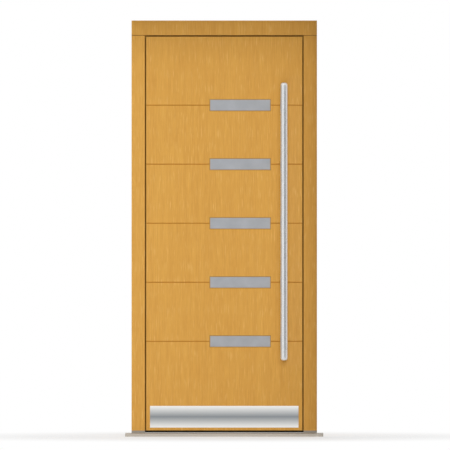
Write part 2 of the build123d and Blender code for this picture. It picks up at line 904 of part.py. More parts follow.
# Insulation fills the field beside the lights and the bays between them
bay_edge = light_height / 2 + trimmer_height
bay_bottoms = [bottom_rail_z] + [z + bay_edge for z in groove_heights]
bay_tops = [z - bay_edge for z in groove_heights] + [top_rail_z]
with BuildPart() as insulation_core:
    block(stile_x, light_left - mullion_width, facing, core_back, bottom_rail_z, top_rail_z)
    for low, high in zip(bay_bottoms, bay_tops):
        block(light_left, light_right, facing, core_back, low, high)
insulation_core.part.label = "insulation_core"
export_step(insulation_core.part, "parts/insulation_core.step")

# Sealed glass units

with BuildPart() as outer_panes:
    with BuildSketch(face_plane(glass_recess + pane_thickness)):
        with Locations(*light_centres):
            Rectangle(pane_width, pane_height)
    extrude(amount=pane_thickness)
    chamfer(outer_panes.faces().group_by(Axis.Y)[0].edges(), plate_edge)
outer_panes.part.label = "outer_panes"
export_step(outer_panes.part, "parts/outer_panes.step")

pane_step = pane_thickness + pane_gap
with BuildPart() as inner_panes:
    for depth in (glass_recess + pane_step, glass_recess + 2 * pane_step):
        with BuildSketch(face_plane(depth + pane_thickness)):
            with Locations(*light_centres):
                Rectangle(pane_width, pane_height)
        extrude(amount=pane_thickness)
inner_panes.part.label = "inner_panes"
export_step(inner_panes.part, "parts/inner_panes.step")

with BuildPart() as glass_spacers:
    for depth in (glass_recess + pane_thickness, glass_recess + pane_thickness + pane_step):
        with BuildSketch(face_plane(depth + pane_gap)):
            with Locations(*light_centres):
                Rectangle(pane_width, pane_height)
                Rectangle(
                    pane_width - 2 * spacer_width,
                    pane_height - 2 * spacer_width,
                    mode=Mode.SUBTRACT,
                )
        extrude(amount=pane_gap)
glass_spacers.part.label = "glass_spacers"
export_step(glass_spacers.part, "parts/glass_spacers.step")

with BuildPart() as glazing_seals:
    with BuildSketch(face_plane(unit_back)):
        with Locations(*light_centres):
            Rectangle(light_width, light_height)
            Rectangle(pane_width, pane_height, mode=Mode.SUBTRACT)
    extrude(amount=unit_back - seal_front)
glazing_seals.part.label = "glazing_seals"
export_step(glazing_seals.part, "parts/glazing_seals.step")

# Glazing beads: four mitred strips round each light, bevelled towards the room
half_w, half_h = light_width / 2, light_height / 2
inner_w, inner_h = half_w - bead_width, half_h - bead_width
bead_back = unit_back + bead_depth


def bead_strip(corners):
    with BuildPart() as strip:
        with BuildSketch(face_plane(bead_back)):
            with BuildLine():
                Polyline(*corners, close=True)
            make_face()
        extrude(amount=bead_depth)
        room_edges = strip.faces().sort_by(Axis.Y)[-1].edges()
        inner_edge = room_edges.sort_by(lambda e: abs(e.center().X) + abs(e.center().Z))[0]
        chamfer(inner_edge, bead_bevel)
    return strip.part


top_w, top_inner_w = half_w - mitre_gap, inner_w - mitre_gap
top_strip = bead_strip(
    ((-top_w, half_h), (top_w, half_h), (top_inner_w, inner_h), (-top_inner_w, inner_h))
)
side_strip = bead_strip(
    ((half_w, half_h), (half_w, -half_h), (inner_w, -inner_h), (inner_w, inner_h))
)
with BuildPart() as glazing_beads:
    with Locations(*[(x, 0, z) for x, z in light_centres]):
        add(top_strip)
        add(mirror(top_strip, about=Plane.XY, mode=Mode.PRIVATE))
        add(side_strip)
        add(mirror(side_strip, about=Plane.YZ, mode=Mode.PRIVATE))
glazing_beads.part.label = "glazing_beads"
export_step(glazing_beads.part, "parts/glazing_beads.step")

# Kick plate

with BuildPart() as kick_plate:
    with BuildSketch(face_plane(0)):
        with Locations((0, kick_bottom + kick_height / 2)):
            Rectangle(kick_width, kick_height)
    extrude(amount=kick_thickness)
    chamfer(kick_plate.faces().sort_by(Axis.Y)[0].edges(), plate_edge)
kick_plate.part.label = "kick_plate"
export_step(kick_plate.part, "parts/kick_plate.step")

# Pull bar: a tube with domed plugs, on two saddled posts that are bolted through the leaf

bar_inner = bar_radius - bar_wall
bar_axis = Location((bar_x, -bar_projection, bar_middle))
tube_length = bar_length - 2 * bar_end_round
with BuildPart() as pull_bar:
    with Locations(bar_axis):
        Cylinder(bar_radius, tube_length)
        Cylinder(bar_inner, tube_length, mode=Mode.SUBTRACT)
pull_bar.part.label = "pull_bar"
export_step(pull_bar.part, "parts/pull_bar.step")

with BuildPart() as one_plug:
    with BuildSketch(Plane.XZ):
        with BuildLine():
            Polyline(
                (bar_radius, 0), (bar_inner, 0), (bar_inner, -bar_plug), (0, -bar_plug),
                (0, bar_end_round), (bar_radius - bar_end_round, bar_end_round)
            )
            RadiusArc((bar_radius - bar_end_round, bar_end_round), (bar_radius, 0), bar_end_round)
        make_face()
    revolve(axis=Axis.Z)

with BuildPart() as bar_end_caps:
    with Locations(
        Location((bar_x, -bar_projection, bar_middle + tube_length / 2)),
        Location((bar_x, -bar_projection, bar_middle - tube_length / 2), (180, 0, 0)),
    ):
        add(one_plug.part)
bar_end_caps.part.label = "bar_end_caps"
export_step(bar_end_caps.part, "parts/bar_end_caps.step")

with BuildPart() as bar_posts:
    for z in post_heights:
        rod_y(bar_x, z, post_radius, -bar_projection, 0)
        rod_y(bar_x, z, post_flange_radius, -post_flange, 0)
    with Locations(bar_axis):
        Cylinder(bar_radius, bar_length, mode=Mode.SUBTRACT)
    for z in post_heights:
        rod_y(bar_x, z, bar_bolt_radius, -bar_bolt_reach, 0, Mode.SUBTRACT)
bar_posts.part.label = "bar_posts"
export_step(bar_posts.part, "parts/bar_posts.step")

with BuildPart() as bar_bolts:
    for z in post_heights:
        rod_y(bar_x, z, bar_bolt_radius, -bar_bolt_reach, frame_depth)
        rod_y(bar_x, z, bolt_head_radius, frame_depth, frame_depth + bolt_head)
bar_bolts.part.label = "bar_bolts"
export_step(bar_bolts.part, "parts/bar_bolts.step")

with BuildPart() as bar_bolt_caps:
    for z in post_heights:
        rod_y(bar_x, z, bolt_cap_radius, frame_depth, frame_depth + bolt_cap_height)
    fillet(bar_bolt_caps.faces().group_by(Axis.Y)[-1].edges(), bolt_cap_edge)
    bore_back = frame_depth + bolt_cap_bore_depth
    for z in post_heights:
        rod_y(bar_x, z, bolt_cap_bore, frame_depth, bore_back, Mode.SUBTRACT)
bar_bolt_caps.part.label = "bar_bolt_caps"
export_step(bar_bolt_caps.part, "parts/bar_bolt_caps.step")


# Lock: the channel that a sliding bolt needs, with its running clearance
def bolt_channel(x0, x1, size, z, extra=0.0):
    half_y = size[1] / 2 + slide_clearance
    half_z = size[2] / 2 + slide_clearance
    block(x0, x1, lock_y - half_y, lock_y + half_y, z - half_z - extra, z + half_z, Mode.SUBTRACT)


with BuildPart() as lock_faceplate:
    with BuildSketch(Plane.YZ.offset(faceplate_x)):
        with Locations((lock_y, (faceplate_bottom + faceplate_top) / 2)):
            Rectangle(faceplate_width, faceplate_top - faceplate_bottom)
    extrude(amount=faceplate_thickness)
    bolt_channel(faceplate_x, lip_x, latch_size, latch_z)
    bolt_channel(faceplate_x, lip_x, deadbolt_size, deadbolt_z)
    for z in end_bolt_heights:
        bolt_channel(faceplate_x, lip_x, end_bolt_size, z)
    snib_slot = (0, snib_size[1], snib_size[2] + snib_travel)
    bolt_channel(faceplate_x, lip_x, snib_slot, snib_z + snib_travel / 2)
    with Locations(*faceplate_screw_places):
        add(small_screw, mode=Mode.SUBTRACT)
lock_faceplate.part.label = "lock_faceplate"
export_step(lock_faceplate.part, "parts/lock_faceplate.step")

strip_x = channel_x + (strip_channel - strip_thickness) / 2
with BuildPart() as drive_strip:
    with BuildSketch(Plane.YZ.offset(strip_x)):
        with Locations((lock_y, (strip_bottom + strip_top) / 2)):
            Rectangle(strip_width, strip_top - strip_bottom)
    extrude(amount=strip_thickness)
    strip_end = strip_x + strip_thickness
    bolt_channel(strip_x, strip_end, deadbolt_size, deadbolt_z, bolt_throw)
    for z in end_bolt_heights:
        bolt_channel(strip_x, strip_end, end_bolt_size, z, bolt_throw)
    latch_top = latch_z + latch_size[2] / 2
    snib_bottom = snib_z - snib_size[2] / 2
    shared_slot = (0, latch_size[1], latch_top - snib_bottom)
    bolt_channel(strip_x, strip_end, shared_slot, (latch_top + snib_bottom) / 2, bolt_throw)
    for z in faceplate_screw_heights[1:-1]:
        bolt_channel(strip_x, strip_end, strip_screw_slot, z, bolt_throw)
drive_strip.part.label = "drive_strip"
export_step(drive_strip.part, "parts/drive_strip.step")

with BuildPart() as lock_case:
    block(case_back, channel_x, case_low, case_high, case_bottom, case_top)
    bolt_channel(lip_x - latch_size[0] - 1, channel_x, latch_size, latch_z)
    bolt_channel(lip_x - deadbolt_size[0] - 1, channel_x, deadbolt_size, deadbolt_z)
    bolt_channel(lip_x - snib_size[0], channel_x, snib_slot, snib_z + snib_travel / 2)
    rod_y(
        spindle_x,
        lever_z,
        follower_radius + follower_clearance,
        case_low,
        case_high,
        Mode.SUBTRACT,
    )
    euro_body(case_low, case_high, Mode.SUBTRACT)
    rod_y(
        spindle_x,
        cylinder_z,
        cam_reach + cam_tip_gap,
        lock_y - cam_half - cam_side_gap,
        lock_y + cam_half + cam_side_gap,
        Mode.SUBTRACT,
    )
lock_case.part.label = "lock_case"
export_step(lock_case.part, "parts/lock_case.step")

with BuildPart() as bolt_boxes:
    for z in end_bolt_heights:
        block(
            box_back, channel_x, case_low, case_high, z - box_height / 2, z + box_height / 2
        )
        bolt_channel(lip_x - end_bolt_size[0] - 1, channel_x, end_bolt_size, z)
bolt_boxes.part.label = "bolt_boxes"
export_step(bolt_boxes.part, "parts/bolt_boxes.step")


# Bolts lie flush with the faceplate when they are drawn back
def square_bolt(size, z):
    half_y, half_z = size[1] / 2, size[2] / 2
    block(lip_x - size[0], lip_x, lock_y - half_y, lock_y + half_y, z - half_z, z + half_z)


with BuildPart() as deadbolt:
    square_bolt(deadbolt_size, deadbolt_z)
    chamfer(deadbolt.faces().sort_by(Axis.X)[-1].edges(), bolt_edge)
deadbolt.part.label = "deadbolt"
export_step(deadbolt.part, "parts/deadbolt.step")

with BuildPart() as end_bolts:
    for z in end_bolt_heights:
        square_bolt(end_bolt_size, z)
    chamfer(end_bolts.faces().group_by(Axis.X)[-1].edges(), bolt_edge)
end_bolts.part.label = "end_bolts"
export_step(end_bolts.part, "parts/end_bolts.step")

# The latch's nose slopes on its outer side, so that it rides over the keep as the door shuts
latch_tail = lip_x - latch_size[0]
latch_outer = lock_y - latch_size[1] / 2
latch_inner = lock_y + latch_size[1] / 2
with BuildPart() as latch_bolt:
    with BuildSketch(Plane.XY.offset(latch_z - latch_size[2] / 2)):
        with BuildLine():
            Polyline(
                (latch_tail, latch_outer),
                (lip_x - latch_slope, latch_outer),
                (lip_x, latch_inner - latch_nose),
                (lip_x, latch_inner),
                (latch_tail, latch_inner),
                close=True,
            )
        make_face()
    extrude(amount=latch_size[2])
latch_bolt.part.label = "latch_bolt"
export_step(latch_bolt.part, "parts/latch_bolt.step")

with BuildPart() as latch_snib:
    snib_x = lip_x + snib_proud
    block(
        snib_x - snib_size[0],
        snib_x,
        lock_y - snib_size[1] / 2,
        lock_y + snib_size[1] / 2,
        snib_z - snib_size[2] / 2,
        snib_z + snib_size[2] / 2,
    )
    chamfer(latch_snib.faces().sort_by(Axis.X)[-1].edges(), plate_edge)
latch_snib.part.label = "latch_snib"
export_step(latch_snib.part, "parts/latch_snib.step")

with BuildPart() as spindle_follower:
    rod_y(spindle_x, lever_z, follower_radius, case_low, case_high)
    block(
        spindle_x - spindle_side / 2,
        spindle_x + spindle_side / 2,
        case_low,
        case_high,
        lever_z - spindle_side / 2,
        lever_z + spindle_side / 2,
        Mode.SUBTRACT,
    )
spindle_follower.part.label = "spindle_follower"
export_step(spindle_follower.part, "parts/spindle_follower.step")

with BuildPart() as spindle:
    block(
        spindle_x - spindle_side / 2,
        spindle_x + spindle_side / 2,
        spindle_front,
        spindle_end,
        lever_z - spindle_side / 2,
        lever_z + spindle_side / 2,
    )
spindle.part.label = "spindle"
export_step(spindle.part, "parts/spindle.step")

# Lever: a round bar bent through a quarter turn, domed at its end
neck_front = frame_depth + neck_gap
neck_back = neck_front + rose_thickness
with BuildPart() as lever_handle:
    with BuildLine() as lever_path:
        FilletPolyline(
            (spindle_x, neck_back, lever_z),
            (spindle_x, lever_reach, lever_z),
            (spindle_x - lever_length, lever_reach, lever_z),
            radius=lever_bend,
        )
    with BuildSketch(Plane(origin=(spindle_x, neck_back, lever_z), z_dir=(0, 1, 0))):
        Circle(lever_radius)
    sweep()
    fillet(lever_handle.faces().sort_by(Axis.X)[0].edges(), lever_radius - lever_end_flat)
    rod_y(spindle_x, lever_z, lever_neck_radius, neck_front, neck_back)
    block(
        spindle_x - spindle_side / 2,
        spindle_x + spindle_side / 2,
        neck_front,
        spindle_end,
        lever_z - spindle_side / 2,
        lever_z + spindle_side / 2,
        Mode.SUBTRACT,
    )
lever_handle.part.label = "lever_handle"
export_step(lever_handle.part, "parts/lever_handle.step")

rose_back = frame_depth + rose_thickness
with BuildPart() as handle_roses:
    for z in (lever_z, cylinder_z):
        rod_y(spindle_x, z, rose_radius, frame_depth, rose_back)
    fillet(handle_roses.faces().group_by(Axis.Y)[-1].edges(), rose_edge)
    rod_y(spindle_x, lever_z, lever_neck_radius + 0.1, frame_depth, rose_back, Mode.SUBTRACT)
    euro_body(frame_depth, rose_back, Mode.SUBTRACT)
handle_roses.part.label = "handle_roses"
export_step(handle_roses.part, "parts/handle_roses.step")

# Cylinder: a thumb-turn barrel on the room side, with its cam in the middle of the case
barrel_end = rose_back + 1.0
cam_front, cam_back = lock_y - cam_half, lock_y + cam_half
front_barrel_end, back_barrel_start = cam_front - cam_side_gap, cam_back + cam_side_gap
with BuildPart() as lock_cylinder:
    euro_body(cylinder_front, front_barrel_end)
    euro_body(back_barrel_start, barrel_end)
    block(
        spindle_x - bridge_half,
        spindle_x + bridge_half,
        front_barrel_end,
        back_barrel_start,
        cylinder_z - bridge_drop,
        cylinder_z - cam_reach - cam_tip_gap,
    )
    rod_y(
        spindle_x,
        cylinder_z,
        plug_radius + pin_clearance,
        back_barrel_start,
        barrel_end,
        Mode.SUBTRACT,
    )
lock_cylinder.part.label = "lock_cylinder"
export_step(lock_cylinder.part, "parts/lock_cylinder.step")

with BuildPart() as cylinder_cam:
    rod_y(spindle_x, cylinder_z, cam_hub, cam_front, cam_back)
    with BuildSketch(face_plane(cam_back)):
        cam_top = cylinder_z + cam_reach - cam_shoulder
        with BuildLine():
            Polyline(
                (spindle_x - cam_root_half, cylinder_z),
                (spindle_x - cam_tip_half, cam_top),
                (spindle_x + cam_tip_half, cam_top),
                (spindle_x + cam_root_half, cylinder_z),
                close=True,
            )
        make_face()
    extrude(amount=2 * cam_half)
cylinder_cam.part.label = "cylinder_cam"
export_step(cylinder_cam.part, "parts/cylinder_cam.step")

knob_front = barrel_end + 0.5
with BuildPart() as thumbturn_knob:
    rod_y(spindle_x, cylinder_z, plug_radius, cam_back, knob_front)
    with BuildSketch(
        Plane(origin=(spindle_x, knob_front, cylinder_z), x_dir=(1, 0, 0), z_dir=(0, 1, 0))
    ):
        Circle(knob_hub)
        SlotOverall(knob_length, knob_width, rotation=90)
    extrude(amount=knob_depth)
    fillet(thumbturn_knob.faces().sort_by(Axis.Y)[-1].edges(), knob_edge)
thumbturn_knob.part.label = "thumbturn_knob"
export_step(thumbturn_knob.part, "parts/thumbturn_knob.step")

# Screws that ride with the leaf
with BuildPart() as leaf_plate_screws:
    with Locations(*hinge_leaf_screw_places, *faceplate_screw_places):
        add(small_screw)
leaf_plate_screws.part.label = "leaf_plate_screws"
export_step(leaf_plate_screws.part, "parts/leaf_plate_screws.step")
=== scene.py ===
import math

import bmesh
import bpy
from mathutils import Matrix, Vector


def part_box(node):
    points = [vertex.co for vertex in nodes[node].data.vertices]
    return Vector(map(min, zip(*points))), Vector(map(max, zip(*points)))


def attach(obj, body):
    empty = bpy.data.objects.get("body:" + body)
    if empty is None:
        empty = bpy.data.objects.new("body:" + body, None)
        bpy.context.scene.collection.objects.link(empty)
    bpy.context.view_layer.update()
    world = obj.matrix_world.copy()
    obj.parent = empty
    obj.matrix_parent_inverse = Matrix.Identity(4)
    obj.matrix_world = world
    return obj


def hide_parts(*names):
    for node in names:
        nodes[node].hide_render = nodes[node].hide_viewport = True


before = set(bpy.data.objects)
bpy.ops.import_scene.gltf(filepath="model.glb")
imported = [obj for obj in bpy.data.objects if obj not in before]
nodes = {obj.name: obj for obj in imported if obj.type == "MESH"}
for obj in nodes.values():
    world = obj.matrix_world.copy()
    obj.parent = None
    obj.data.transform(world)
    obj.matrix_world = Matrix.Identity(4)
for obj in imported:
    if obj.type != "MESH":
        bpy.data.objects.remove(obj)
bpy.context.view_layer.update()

print("loaded the door,", len(nodes), "pieces")


# a screen colour, 0 to 255, as the linear colour that a shader wants
def tint(red, green, blue):
    linear = []
    for value in (red / 255, green / 255, blue / 255):
        linear.append(value / 12.92 if value <= 0.04045 else ((value + 0.055) / 1.055) ** 2.4)
    return (*linear, 1.0)


# the same colour, darker with a tone under 1 and lighter with one over it
def toned(colour, tone):
    return tuple(value * tone for value in colour[:3]) + (1.0,)


# a socket that takes part in sums, so shader maths reads as plain arithmetic
class Wire:
    def __init__(self, shader, socket):
        self.shader = shader
        self.socket = socket

    def maths(self, operation, first, second):
        return self.shader.add("ShaderNodeMath", {"operation": operation}, {0: first, 1: second})

    def __add__(self, other):
        return self.maths("ADD", self, other)

    def __radd__(self, other):
        return self.maths("ADD", other, self)

    def __sub__(self, other):
        return self.maths("SUBTRACT", self, other)

    def __rsub__(self, other):
        return self.maths("SUBTRACT", other, self)

    def __mul__(self, other):
        return self.maths("MULTIPLY", self, other)

    def __rmul__(self, other):
        return self.maths("MULTIPLY", other, self)

    def __abs__(self):
        return self.maths("ABSOLUTE", self, 0.0)

    def orLess(self, other):
        return self.maths("MINIMUM", self, other)


# the nodes of a material or of the world
class Shader:
    def __init__(self, owner):
        owner.use_nodes = True
        self.owner = owner
        self.tree = owner.node_tree
        self.tree.nodes.clear()

    def add(self, kind, settings=None, inputs=None, output=0):
        made = self.tree.nodes.new(kind)
        for key, value in (settings or {}).items():
            setattr(made, key, value)
        for key, value in (inputs or {}).items():
            if isinstance(value, Wire):
                self.tree.links.new(value.socket, made.inputs[key])
            else:
                made.inputs[key].default_value = value
        return Wire(self, made.outputs[output]) if made.outputs else made

    # object coordinates, squeezed along an axis and shifted so no two boards match
    def place(self, squeeze=(1, 1, 1), shift=(0, 0, 0)):
        spot = self.add("ShaderNodeTexCoord", output="Object")
        return self.add("ShaderNodeMapping", {}, {"Vector": spot, "Scale": squeeze, "Location": shift})

    # one object coordinate: "Y" runs into the room, "Z" is the height
    def coordinate(self, axis):
        spot = self.add("ShaderNodeTexCoord", output="Object")
        return self.add("ShaderNodeSeparateXYZ", {}, {"Vector": spot}, output=axis)

    def noise(self, place, perMetre, detail=2.0, roughness=0.5):
        return self.add("ShaderNodeTexNoise", {}, {
            "Vector": place, "Scale": perMetre, "Detail": detail, "Roughness": roughness})

    # stretches a value's range from low..high to 0..1 with soft ends
    def between(self, value, low, high):
        return self.add("ShaderNodeMapRange", {"interpolation_type": "SMOOTHSTEP"}, {
            "Value": value, "From Min": low, "From Max": high})

    # the colour form of the Mix node has its factor at socket 0 and its colours at 6 and 7
    def mix(self, factor, first, second):
        sockets = {0: factor, 6: first, 7: second}
        return self.add("ShaderNodeMix", {"data_type": "RGBA"}, sockets, output=2)

    # a colour that wanders to both sides of its own tone
    def vary(self, factor, colour, by):
        return self.mix(factor, toned(colour, 1 - by), toned(colour, 1 + by))

    def bump(self, height, depth, strength):
        return self.add("ShaderNodeBump", {}, {"Height": height, "Distance": depth, "Strength": strength})

    def surface(self, inputs):
        last = self.add("ShaderNodeBsdfPrincipled", {}, inputs)
        self.add("ShaderNodeOutputMaterial", {}, {"Surface": last})
        return self.owner


def newMaterial(name):
    return Shader(bpy.data.materials.new(name))


def dress(material, *names):
    for name in names:
        mesh = nodes[name].data
        mesh.materials.clear()
        mesh.materials.append(material)


oak = {
    "light": tint(228, 174, 84),
    "dark": tint(204, 146, 64),
    # the figure's layers: how many to a metre across the grain, how squeezed along it, and their shares
    "bands": {"perMetre": 8.0, "squeeze": 0.05, "share": 0.12},
    "streaks": {"perMetre": 45.0, "squeeze": 0.03, "share": 0.2},
    "lines": {"perMetre": 190.0, "squeeze": 0.04, "share": 0.5, "roughness": 0.6},
    "fibres": {"perMetre": 520.0, "squeeze": 0.03, "share": 0.18},
    "contrast": 2.4,
    # the marks on it, which begin where their noise passes "from" and are full at "to"
    "flecks": {
        "colour": tint(240, 196, 118), "strength": 0.5,
        "perMetre": 250.0, "squeeze": 0.05, "from": 0.58, "to": 0.74},
    "pores": {
        "colour": tint(160, 106, 42), "strength": 0.25,
        "perMetre": 900.0, "squeeze": 0.035, "from": 0.62, "to": 0.74},
    "roughness": 0.46,
    "roughnessSpread": 0.12,
    "gloss": 0.25,
    "poreDepth": 0.00015,
    "fibreRelief": 0.3,
    "relief": 0.6,
}
# the routed grooves; their colour and strength are painted shade inside them
grooves = {
    "colour": tint(188, 130, 45),
    "strength": 0.7,
    "count": 5,
    "lowest": 0.5135,
    "step": 0.3185,
    "half": 0.00325,
    "core": 0.6,  # the share of the half width that gets the full painted shade
    "depth": 0.0036,
    "outerFace": 0.0,
    "innerFace": 0.078,
}
endJoint = {"colour": tint(112, 74, 28), "width": 0.0026}
# how soft the edges of the painted groove shade and of the dark end joint are
shadeAndJointEdge = 0.0002


# the mask of the painted shade in the routed grooves: 1 in the grooves of the face at this y, and 0 beside
# them and deeper in
def grooveShadeMask(shader, face):
    height = shader.coordinate("Z")
    nearest = abs(height - grooves["lowest"])
    for step in range(1, grooves["count"]):
        nearest = nearest.orLess(abs(height - (grooves["lowest"] + step * grooves["step"])))
    inside = 1 - shader.between(nearest, grooves["core"] * grooves["half"], grooves["half"])
    under = abs(shader.coordinate("Y") - face)
    return inside * (1 - shader.between(under, grooves["depth"], grooves["depth"] + shadeAndJointEdge))


# grain is the axis that the fibres follow, 0 to 2, and a tone under 1 is a darker board, or painted shade
# on the lippings; a grooved face's y gives painted shade in its grooves, and topEnd the z of an upper end
# that meets the board over it
def oakFinish(name, grain=2, tone=1.0, shift=(0, 0, 0), shadedGrooveFace=None, topEnd=None):
    shader = newMaterial(name)

    def layer(look, detail=2.0):
        scale = [1.0, 1.0, 1.0]
        scale[grain] = look["squeeze"]
        place = shader.place(tuple(scale), shift)
        return shader.noise(place, look["perMetre"], detail, look.get("roughness", 0.5))

    def weighed(look):
        return layer(look) * look["share"]

    def marks(look):
        return shader.between(layer(look, 1.0), look["from"], look["to"])

    fibres = layer(oak["fibres"])
    pores = marks(oak["pores"])
    layers = weighed(oak["bands"]) + weighed(oak["streaks"]) + weighed(oak["lines"])
    figure = 0.5 + (layers + fibres * oak["fibres"]["share"] - 0.5) * oak["contrast"]
    wood = shader.mix(figure, toned(oak["dark"], tone), toned(oak["light"], tone))
    flecks = marks(oak["flecks"]) * oak["flecks"]["strength"]
    wood = shader.mix(flecks, wood, toned(oak["flecks"]["colour"], tone))
    # painted shade in the routed grooves
    if shadedGrooveFace is not None:
        wood = shader.mix(grooveShadeMask(shader, shadedGrooveFace) * grooves["strength"], wood, grooves["colour"])
    if topEnd is not None:
        low = topEnd - endJoint["width"]
        atEnd = shader.between(shader.coordinate("Z"), low, low + shadeAndJointEdge)
        wood = shader.mix(atEnd, wood, endJoint["colour"])
    wood = shader.mix(pores * oak["pores"]["strength"], wood, toned(oak["pores"]["colour"], tone))
    return shader.surface({
        "Base Color": wood,
        "Roughness": oak["roughness"] + fibres * oak["roughnessSpread"],
        "Specular IOR Level": oak["gloss"],
        "Normal": shader.bump(fibres * oak["fibreRelief"] - pores, oak["poreDepth"], oak["relief"]),
    })


dress(oakFinish("oak veneer outside", shadedGrooveFace=grooves["outerFace"]), "outer_facing")
dress(oakFinish("oak veneer inside", shift=(3.1, 0, 1.7), shadedGrooveFace=grooves["innerFace"]),
      "inner_facing")
for board in ("hinge_jamb_outer", "hinge_jamb_inner", "lock_jamb_outer", "lock_jamb_inner"):
    low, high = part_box(board)
    dress(oakFinish("oak " + board, shift=(4 + 6 * low.x, 0.6, 2.1 - low.x), topEnd=high.z), board)
dress(oakFinish("oak head", shift=(7.7, 0.1, 4.4)), "head_outer", "head_inner")
# the lippings' low tone is painted shade, darkening the gaps round the leaf
dress(oakFinish("oak lippings", tone=0.52, shift=(0.9, 4.1, 3.2)), "leaf_lippings")
dress(oakFinish("oak beads", shift=(2.4, 1.9, 0.2)), "glazing_beads")
dress(oakFinish("carcass uprights", tone=0.9, shift=(4.1, 2.2, 0.9)),
      "hinge_stile", "lock_stile", "light_mullions")
dress(oakFinish("carcass rails", grain=0, tone=0.9, shift=(0.7, 3.3, 0.4)),
      "top_rail", "bottom_rail", "light_trimmers")
print("oak done")

# what is moulded, pressed or coated; the usual values hold where a finish names none of its own
usualMoulding = {"roughness": 0.5, "grainPerMetre": 900.0, "depth": 0.00004}
mouldings = {
    "core board": {
        "colour": tint(178, 146, 106), "roughness": 0.9, "grainPerMetre": 500.0, "depth": 0.0004,
        "nodes": ["insulation_core"]},
    "rubber gasket": {
        "colour": tint(34, 28, 22), "roughness": 0.7,
        "nodes": ["gasket_head", "gasket_hinge_side", "gasket_lock_side"]},
    "threshold gasket": {"colour": tint(36, 34, 32), "roughness": 0.7, "nodes": ["threshold_seal"]},
    "glazing seal": {"colour": tint(176, 134, 66), "roughness": 0.65, "nodes": ["glazing_seals"]},
    "spacer bar": {"colour": tint(96, 97, 98), "nodes": ["glass_spacers"]},
    "threshold base": {"colour": tint(52, 52, 54), "roughness": 0.6, "nodes": ["threshold_base"]},
    "foot pad": {"colour": tint(158, 151, 140), "roughness": 0.6, "nodes": ["jamb_foot_pads"]},
    "sill coating": {
        "colour": tint(196, 188, 177), "roughness": 0.42, "grainPerMetre": 1400.0, "depth": 0.00003,
        "nodes": ["door_sill"]},
    "sill cap plastic": {"colour": tint(184, 176, 164), "nodes": ["sill_end_caps"]},
    "snib plastic": {"colour": tint(40, 40, 42), "roughness": 0.45, "nodes": ["latch_snib"]},
}
speckling = {
    "cloudsPerMetre": 12.0,
    "cloudShare": 0.6,
    "colourSpread": 0.07,
    "roughnessSpread": 0.12,
    "gloss": 0.35,
    "relief": 0.5,
}
# the ramp colour is painted shade, darker than the lip where the leaf shades the ramp
rail = {"lip": tint(192, 190, 185), "ramp": tint(64, 60, 53), "rampFrom": 0.005, "rampTo": 0.011}


def speckledSurface(shader, colour, speckle, look):
    spread = speckling["roughnessSpread"]
    return shader.surface({
        "Base Color": colour,
        "Roughness": look["roughness"] - spread / 2 + speckle * spread,
        "Specular IOR Level": speckling["gloss"],
        "Normal": shader.bump(speckle, look["depth"], speckling["relief"]),
    })


def mouldedFinish(name, look):
    look = {**usualMoulding, **look}
    shader = newMaterial(name)
    speckle = shader.noise(shader.place(), look["grainPerMetre"])
    clouds = shader.noise(shader.place(), speckling["cloudsPerMetre"])
    mottle = clouds * speckling["cloudShare"] + speckle * (1 - speckling["cloudShare"])
    colour = shader.vary(mottle, look["colour"], speckling["colourSpread"])
    return speckledSurface(shader, colour, speckle, look)


# the threshold's outer rail: a pale lip in front, and painted shade on the ramp past it, where the leaf's
# underside shades it
def railFinish():
    shader = newMaterial("outer rail lip and painted shade")
    speckle = shader.noise(shader.place(), usualMoulding["grainPerMetre"])
    shadedBehindLip = shader.between(shader.coordinate("Y"), rail["rampFrom"], rail["rampTo"])
    return speckledSurface(shader, shader.mix(shadedBehindLip, rail["lip"], rail["ramp"]), speckle, usualMoulding)


for name, look in mouldings.items():
    dress(mouldedFinish(name, look), *look["nodes"])
dress(railFinish(), "threshold_outer_rail")
print("core, seals, plastics and coatings done")

glass = {
    "frosted": tint(167, 170, 175),
    "clear": tint(238, 244, 242),
    "ior": 1.5,
    "etchPerMetre": 1800.0,
    "etchShare": 0.3,
    "etchDepth": 0.00002,
    "cloudsPerMetre": 14.0,
    "colourSpread": 0.28,
    "ripplesPerMetre": 6.0,
    "rippleDepth": 0.0002,
}


def frostedFinish():
    shader = newMaterial("frosted glass")
    etch = shader.noise(shader.place(), glass["etchPerMetre"])
    clouds = shader.noise(shader.place(), glass["cloudsPerMetre"], 3.0)
    mottle = etch * glass["etchShare"] + clouds * (1 - glass["etchShare"])
    return shader.surface({
        "Base Color": shader.vary(mottle, glass["frosted"], glass["colourSpread"]),
        "Roughness": 0.34 + etch * 0.1,
        "IOR": glass["ior"],
        "Normal": shader.bump(etch, glass["etchDepth"], 0.4),
    })


def clearFinish():
    shader = newMaterial("clear glass")
    ripple = shader.noise(shader.place(), glass["ripplesPerMetre"], 1.0)
    return shader.surface({
        "Base Color": glass["clear"],
        "Roughness": 0.02 + ripple * 0.01,
        "IOR": glass["ior"],
        "Transmission Weight": 1.0,
        "Normal": shader.bump(ripple, glass["rippleDepth"], 0.1),
    })


dress(frostedFinish(), "outer_panes")
dress(clearFinish(), "inner_panes")
print("glass done")

